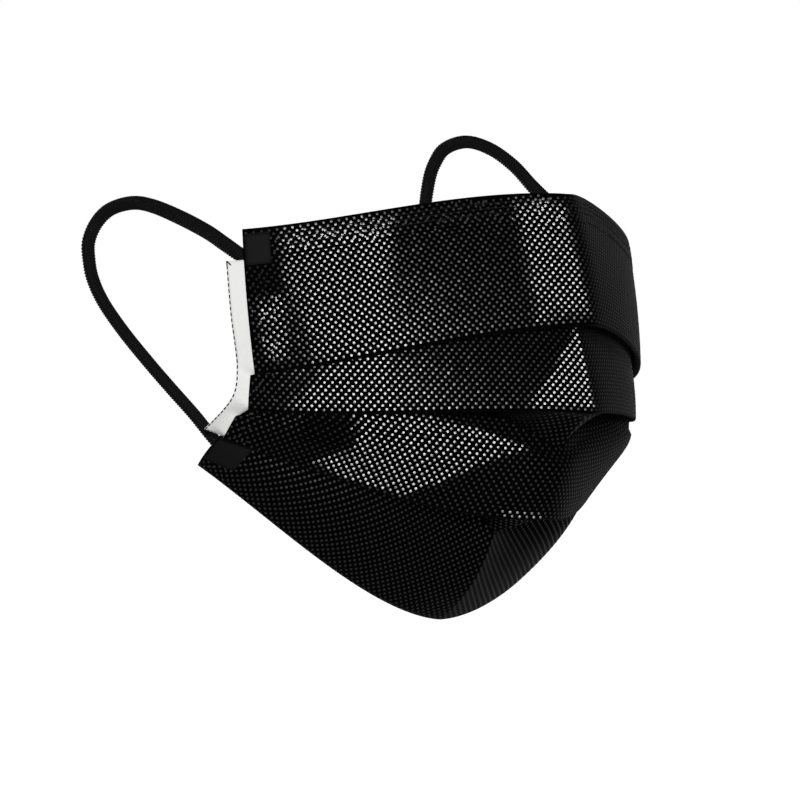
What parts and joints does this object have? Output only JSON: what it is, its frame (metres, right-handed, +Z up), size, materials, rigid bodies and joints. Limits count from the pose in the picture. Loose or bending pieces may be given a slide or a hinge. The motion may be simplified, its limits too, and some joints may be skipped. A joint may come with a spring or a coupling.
{
  "type": "surgical mask",
  "caption": "Black pleated face mask in its worn form: folded cloth body open towards the face, top hem, pale side bands and elastic ear loops.",
  "frame": {"origin": "inner side of the top edge on the nose bridge, where the mask hangs on a face", "axes": "the wearer faces -Y, the wearer's left is +X, +Z is up; the body is symmetrical about the plane X = 0"},
  "size_m": [0.1474, 0.1252, 0.1278],
  "materials": {
    "black_cloth": "matte black spunbond cloth with glossy bond points",
    "pale_cloth": "matte white non-woven cloth",
    "black_elastic": "matte black knitted elastic"
  },
  "bodies": {
    "root": {"pleated_body": "black_cloth", "top_hem": "black_cloth", "side_band_right": "pale_cloth", "side_band_left": "pale_cloth", "ear_loop_right": "black_elastic", "ear_loop_left": "black_elastic"}
  },
  "joints": []
}
